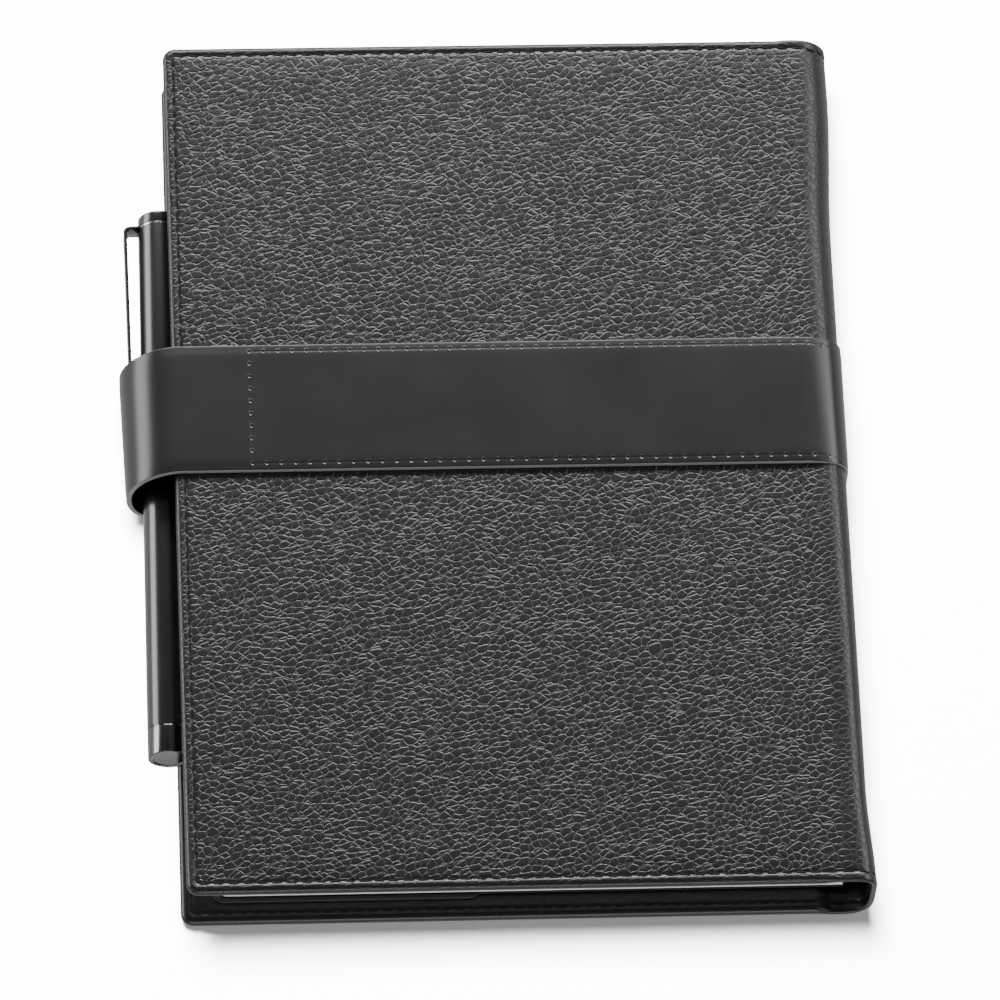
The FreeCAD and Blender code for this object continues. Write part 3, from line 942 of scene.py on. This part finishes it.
def flat_pocket(name, body, s_range, y_range, level, thick, sewn, node_name):
    """A leather pocket panel on an inside face, with a seam along its closed sides."""
    inset = 1.7
    seam = {"s0": s_range[0] + inset, "s1": s_range[1] - inset, "y0": y_range[0] + inset,
            "y1": y_range[1] - inset}
    ends = {"s0": s_range[0] + 0.6, "s1": s_range[1] - 0.6, "y0": y_range[0] + 0.6, "y1": y_range[1] - 0.6}
    for side in sewn.split():
        ends[side] = seam[side]

    def face(e, s, y):
        across = {"s0": s, "s1": s, "y0": y, "y1": y}
        nearest = np.minimum.reduce([np.abs(across[side] - seam[side]) for side in sewn.split()])
        return level + thick - pressed_seam(nearest, 0.10, 0.28)

    piece = sheet(name, cover_wrap, s_range, y_range, lambda e, s, y: level + 0 * s, face, radii=(0.0, 0.22),
                  corner=3.0, step=(5.0, 5.0), marks=[1.0, 1.2, 1.35, 1.5, 1.65, 1.8, 2.1, 3.5])
    finish_piece(piece, pocket_skin, body=body, nodes=[node_name])
    runs = [(seam[side], ends["y0"], seam[side], ends["y1"]) for side in ("s0", "s1") if side in sewn]
    runs += [(ends["s0"], seam[side], ends["s1"], seam[side]) for side in ("y0", "y1") if side in sewn]
    threads = thread_run(name + "_thread", cover_wrap, runs, lambda s, y: level + thick - 0.12 + 0 * s, 0.2,
                         sink=0.25, side=-1)
    finish_piece(threads, black_thread, body=body)


make_linings()
flat_pocket("document_pocket_panel", "front_cover", (COVER_RUN - 112, COVER_RUN - 12), (-100.0, 100.0),
            PANEL, 0.5, "s1 y0 y1", "document_pocket")
flat_pocket("card_pocket_panel", "front_cover", (COVER_RUN - 82, COVER_RUN - 12), (-100.0, -38.0),
            PANEL + 0.5, 0.4, "s0 s1 y0", "card_pocket")
flat_pocket("refill_sleeve", "back_cover", (6.3, 70.0), (-106.2, 106.2), PANEL, 0.9, "s0 y0 y1",
            "back_sleeve")


# The refill: leaves one by one, each a hair out of line with the next

PAGE_X = (7.5, 155.5)
PAGE_HALF = 105.0
PAGE_ROUND = 2.4
LEAF_PITCH = 0.186
LEAF_GAP = 0.012


def make_leaves(name, z0, z1, node_name):
    """A block of leaves. Those at its top and bottom start a little further in at the fore-edge."""
    count = int((z1 - z0) / LEAF_PITCH)
    pitch = (z1 - z0) / count
    points, faces = [], []
    for k in range(count):
        low = z0 + k * pitch + LEAF_GAP
        high = z0 + (k + 1) * pitch - LEAF_GAP
        slip = rng.uniform(-0.10, 0.0, 4)
        x0 = PAGE_X[0] - slip[0] + 0.25 * abs(k - count / 2) / count
        x1 = PAGE_X[1]
        y0 = -PAGE_HALF - slip[2]
        y1 = PAGE_HALF + slip[3]
        base = len(points)
        outline = [(x1, y0), (x1, y1)]
        for centre_y, start in ((y1 - PAGE_ROUND, QUARTER), (y0 + PAGE_ROUND, 2 * QUARTER)):
            for step in range(7):
                turn = start + QUARTER * step / 6
                outline.append((x0 + PAGE_ROUND + PAGE_ROUND * math.cos(turn),
                                centre_y + PAGE_ROUND * math.sin(turn)))
        size = len(outline)
        for z in (low, high):
            points += [(x, y, z) for x, y in outline]
        faces.append(tuple(base + i for i in range(size)))
        faces.append(tuple(base + size + i for i in range(size)))
        faces += band(base, base + size, size)
    flat = np.array(points)
    piece = make_mesh(name, to_row(flat[:, 0], flat[:, 1], flat[:, 2]), faces, {"grain": flat}, False)
    finish_piece(piece, paper, body=body_of_node[node_name], nodes=[node_name])


bodies = frame["record"]["behaviour"]["bodies"]
body_of_node = {name: body for body, names in bodies.items() for name in names}
make_leaves("leaves_lower", 5.45, 12.15, "lower_pages")
make_leaves("leaves_upper", 12.25, 18.5, "upper_pages")


# The pen

PEN_X = -2.2
PEN_Z = 11.0
PEN_TURN = math.radians(-0.45)
PEN_RADIUS = 5.2
PEN_TAIL = -72.0
PEN_HEAD = 70.5
TAIL_JOINT = PEN_TAIL + 7.1
CAP_END = PEN_HEAD - 62.0
CROWN_JOINT = PEN_HEAD - 3.1
WASHER = CROWN_JOINT - 0.3


def pen_place(points):
    """Pen coordinates (x from its axis, y, z from its axis) to the row frame."""
    points = np.asarray(points, float)
    x = PEN_X + points[:, 0] * math.cos(PEN_TURN) - points[:, 1] * math.sin(PEN_TURN)
    y = points[:, 0] * math.sin(PEN_TURN) + points[:, 1] * math.cos(PEN_TURN)
    return to_row(x, y, PEN_Z + points[:, 2])


def soften(outline, radius):
    """Rounds the corners of an open outline of (y, r) points with short arcs."""
    result = [outline[0]]
    for before, corner, after in zip(outline, outline[1:], outline[2:]):
        corner, before, after = np.array(corner), np.array(before), np.array(after)
        reach0 = np.linalg.norm(before - corner)
        reach1 = np.linalg.norm(after - corner)
        cut = min(radius, 0.45 * reach0, 0.45 * reach1)
        start = corner + (before - corner) / reach0 * cut
        end = corner + (after - corner) / reach1 * cut
        for t in (0, 0.25, 0.5, 0.75, 1):
            result.append(tuple((1 - t) ** 2 * start + 2 * t * (1 - t) * corner + t * t * end))
    result.append(outline[-1])
    return result


def lathe(name, outline, material, body, nodes, rounding, closed=False):
    """A turned piece of the pen from its outline of (y, radius) points."""
    sides = 96
    points, faces, rings = [], [], []
    for y, r in soften(outline, rounding):
        if r < 1e-6:
            rings.append([len(points)])
            points.append((0, y, 0))
            continue
        rings.append(list(range(len(points), len(points) + sides)))
        for q in range(sides):
            turn = 2 * math.pi * q / sides
            points.append((r * math.cos(turn), y, r * math.sin(turn)))
    pairs = list(zip(rings, rings[1:]))
    if closed:
        pairs.append((rings[-1], rings[0]))
    for first, second in pairs:
        for q in range(sides):
            n = (q + 1) % sides
            if len(first) == 1:
                faces.append((first[0], second[q], second[n]))
            elif len(second) == 1:
                faces.append((first[q], second[0], first[n]))
            else:
                faces.append((first[q], second[q], second[n], first[n]))
    finish_piece(make_mesh(name, pen_place(points), faces), material, body=body, nodes=nodes)


def make_pen():
    """The turned pieces. The closed outlines are tubes and rings."""
    r = PEN_RADIUS
    barrel = body_of_node["barrel_tube"]
    cap = body_of_node["cap_tube"]
    dish = 0.35
    lathe("pen_tail_cap", [(PEN_TAIL + dish, 0), (PEN_TAIL + dish, 3.9), (PEN_TAIL, 4.35),
                           (PEN_TAIL, r - 0.05), (TAIL_JOINT, r), (TAIL_JOINT, 4.3), (TAIL_JOINT + 5, 4.3),
                           (TAIL_JOINT + 5, 0)],
          polished, barrel, ["tail_cap"], 0.3)
    lathe("pen_tail_ring", [(TAIL_JOINT, 4.35), (TAIL_JOINT, r - 0.12), (TAIL_JOINT + 0.3, r - 0.12),
                            (TAIL_JOINT + 0.3, 4.35), (TAIL_JOINT + 0.15, 4.33)],
          polished, barrel, ["tail_ring"], 0.03, closed=True)
    lathe("pen_barrel_tube", [(TAIL_JOINT + 0.3, 4.35), (TAIL_JOINT + 0.3, r), (CAP_END - 0.08, r),
                              (CAP_END - 0.08, 4.35), ((TAIL_JOINT + CAP_END) / 2, 4.33)],
          lacquer, barrel, ["barrel_tube"], 0.12, closed=True)
    lathe("pen_cap_ring", [(CAP_END, 4.65), (CAP_END, r + 0.02), (CAP_END + 1.5, r + 0.02),
                           (CAP_END + 1.5, 4.65), (CAP_END + 0.7, 4.62)],
          polished, cap, ["cap_ring"], 0.12, closed=True)
    lathe("pen_cap_tube", [(CAP_END + 1.5, 4.65), (CAP_END + 1.5, r - 0.02), (WASHER, r - 0.02),
                           (WASHER, 4.65), ((CAP_END + WASHER) / 2, 4.62)],
          lacquer, cap, ["cap_tube"], 0.10, closed=True)
    lathe("pen_crown", [(WASHER - 5, 0), (WASHER - 5, 4.0), (CROWN_JOINT, 4.0), (CROWN_JOINT, r),
                        (PEN_HEAD - 0.5, r - 0.02), (PEN_HEAD - 0.05, r - 0.6), (PEN_HEAD, 0)],
          lacquer, cap, ["cap_crown"], 0.3)
    lathe("pen_clip_washer", [(WASHER, 4.1), (WASHER, r - 0.1), (CROWN_JOINT, r - 0.1), (CROWN_JOINT, 4.1),
                              (CROWN_JOINT - 0.15, 4.08)],
          steel, cap, [], 0.03, closed=True)


def arc_points(centre, radius, start, end, steps):
    """Plan points on an arc, angles in degrees."""
    found = []
    for k in range(steps + 1):
        turn = math.radians(start + (end - start) * k / steps)
        found.append((centre[0] + radius * math.cos(turn), centre[1] + radius * math.sin(turn)))
    return found


def make_clip():
    """The clip: a springy bar that comes out of the cap, turns and runs down beside it to a ball."""
    reach = PEN_RADIUS + 3.55
    thick = 0.85
    lean = 0.7
    end = CROWN_JOINT - 43.0
    outer_round = 1.7
    inner_round = outer_round - thick
    top = CROWN_JOINT
    root = -4.75
    shoulder = top - outer_round
    bar = [(-reach + lean * t, shoulder - (shoulder - end) * t) for t in (0.25, 0.5, 0.75, 0.98)]
    outer = [(root, top)] + arc_points((-reach + outer_round, shoulder), outer_round, 90, 180, 10) + bar
    tip = -reach + lean + thick / 2
    outer += [(tip - 0.25, end + 0.1), (tip, end), (tip + 0.25, end + 0.1)]
    inner = [(x + thick, y) for x, y in reversed(bar)]
    inner += arc_points((-reach + outer_round, shoulder), inner_round, 180, 90, 8)
    inner += [(root, top - thick)]
    plan = np.array(outer + inner)
    levels = [(-2.5, 0.22), (-2.42, 0.07), (-2.28, 0.0), (2.28, 0.0), (2.42, 0.07), (2.5, 0.22)]
    points, faces = [], []
    size = len(plan)
    ahead = np.roll(plan, -1, axis=0)
    behind = np.roll(plan, 1, axis=0)
    tangent = ahead - behind
    tangent /= np.linalg.norm(tangent, axis=1)[:, None]
    normal = np.stack([tangent[:, 1], -tangent[:, 0]], -1)
    area = np.sum(plan[:, 0] * ahead[:, 1] - ahead[:, 0] * plan[:, 1])
    outward = normal if area > 0 else -normal
    for z, inset in levels:
        points += [(x, y, z) for x, y in plan - outward * inset]
    for k in range(len(levels) - 1):
        faces += band(k * size, (k + 1) * size, size)
    half = len(outer)
    for base in (0, (len(levels) - 1) * size):
        for i in range(half - 1):
            j0 = int(round(size - 1 - i * (size - half - 1) / (half - 1)))
            j1 = int(round(size - 1 - (i + 1) * (size - half - 1) / (half - 1)))
            if j0 == j1:
                faces.append((base + i, base + i + 1, base + j0))
            else:
                faces.append((base + i, base + i + 1, base + j1, base + j0))
    clip = make_mesh("pen_clip_bar", pen_place(points), faces)
    weld(clip)
    cap = body_of_node["pen_clip"]
    finish_piece(clip, lacquer, body=cap, nodes=["pen_clip"])
    rings, sides, ball_radius = 12, 20, 1.2
    points, faces = [], []
    for k in range(rings + 1):
        polar = math.pi * k / rings
        flat = ball_radius * math.sin(polar)
        for q in range(sides):
            turn = 2 * math.pi * q / sides
            points.append((-PEN_RADIUS - 1.25 + flat * math.cos(turn), end + 1.5 + flat * math.sin(turn),
                           ball_radius * math.cos(polar)))
    for k in range(rings):
        faces += band(k * sides, (k + 1) * sides, sides)
    ball = make_mesh("pen_clip_ball", pen_place(points), faces)
    weld(ball)
    finish_piece(ball, polished, body=cap)


make_pen()
make_clip()

# CAD nodes that are shown in their own shape
SHOWN_NODES = [
    (card, ["refill_back_card", "refill_front_card"]),
    (tape_cloth, ["lower_binding_tape", "upper_binding_tape"]),
    (nickel, ["tab_magnet", "loop_magnet"]),
    (plastic, ["grip_section", "cap_liner"]),
    (steel, ["refill_tube", "writing_tip"]),
]
for material, names in SHOWN_NODES:
    for name in names:
        cad_node = frame["nodes"][name]
        cad_node.data.materials.clear()
        cad_node.data.materials.append(material)


# The floor, the camera and the lights

WHITE = (1, 1, 1, 1)


def stage_sheet(name, z, paint, grey, glow, **values):
    """A wide level sheet of a plain grey that also glows."""
    made = make_mesh(name, [(-3, -3, z), (3, -3, z), (3, 3, z), (-3, 3, z)], [(0, 1, 2, 3)])
    material, _, shader = new_material(paint, **values)
    shader.inputs["Base Color"].default_value = (grey, grey, grey, 1)
    shader.inputs["Emission Color"].default_value = WHITE
    shader.inputs["Emission Strength"].default_value = glow
    made.data.materials.append(material)
    return made


floor = stage_sheet("floor", 0, "floor_paint", 0.9, 0.2, Roughness=0.9, Specular_IOR_Level=0.1)
floor.visible_glossy = False
floor.visible_diffuse = False

# The floor's own light on the object, as a plain glow just below it that the camera does not see
glow = stage_sheet("floor_glow", -0.0005, "floor_glow", 0, 0.9, Roughness=1.0, Specular_IOR_Level=0.0)
glow.visible_camera = False
glow.visible_shadow = False

# Camera: from in front, above the tail, turned slightly
AZIMUTH = math.radians(-8.53)
ELEVATION = math.radians(65.36)
ROLL = math.radians(6.80)
DISTANCE = 2.2
back = Vector((math.sin(AZIMUTH) * math.cos(ELEVATION), -math.cos(AZIMUTH) * math.cos(ELEVATION),
               math.sin(ELEVATION)))
level = Vector((math.cos(AZIMUTH), math.sin(AZIMUTH), 0))
upward = back.cross(level)
right = level * math.cos(ROLL) + upward * math.sin(ROLL)
up = upward * math.cos(ROLL) - level * math.sin(ROLL)
AIM = (1.69 + 76.425 - X_CENTRE, -6.61, 12.2)
target = Vector([v * MM for v in AIM])
camera_data = bpy.data.cameras.new("camera")
camera_data.lens = 330.24
camera_data.sensor_width = 36
camera_data.clip_end = 20
camera = bpy.data.objects.new("camera", camera_data)
place = target + back * DISTANCE
camera.matrix_world = Matrix(((right.x, up.x, back.x, place.x), (right.y, up.y, back.y, place.y),
                              (right.z, up.z, back.z, place.z), (0, 0, 0, 1)))
bpy.context.scene.collection.objects.link(camera)
bpy.context.scene.camera = camera


def linked(name, objects, state):
    """A collection that a light takes in, or leaves out."""
    made = bpy.data.collections.new(name)
    for member in objects:
        made.objects.link(member)
        made.collection_objects[-1].light_linking.link_state = state
    return made


floor_only = linked("floor_only", [floor], "INCLUDE")
floor_left_out = linked("floor_left_out", [floor], "EXCLUDE")
pen_left_out = linked("pen_left_out", [o for o in bpy.data.objects if o.name.startswith("pen_")], "EXCLUDE")


def area_light(name, position, size, power, receivers=floor_left_out, blockers=None):
    """A softbox that faces the object. Without receivers of its own it leaves the floor out."""
    data = bpy.data.lights.new(name, "AREA")
    data.shape = "RECTANGLE"
    data.size, data.size_y = size
    data.energy = power
    light = bpy.data.objects.new(name, data)
    light.location = position
    light.rotation_euler = (-Vector(position)).to_track_quat("-Z", "Y").to_euler()
    light.light_linking.receiver_collection = receivers
    light.light_linking.blocker_collection = blockers
    bpy.context.scene.collection.objects.link(light)


area_light("head_softbox", (0.1, 1.42, 0.95), (1.5, 0.6), 68)
area_light("left_softbox", (-1.2, 0.35, 0.32), (1.2, 0.6), 20)
area_light("right_softbox", (1.1, 0.15, 0.7), (1.4, 0.6), 15)
area_light("tail_softbox", (0.0, -1.5, 0.35), (1.4, 0.3), 12)
area_light("floor_softbox", (-0.3, 0.62, 2.1), (0.85, 1.1), 860, floor_only, pen_left_out)
world = bpy.data.worlds.new("studio")
world.use_nodes = True
background = world.node_tree.nodes["Background"]
background.inputs["Color"].default_value = WHITE
background.inputs["Strength"].default_value = 0.15
bpy.context.scene.world = world
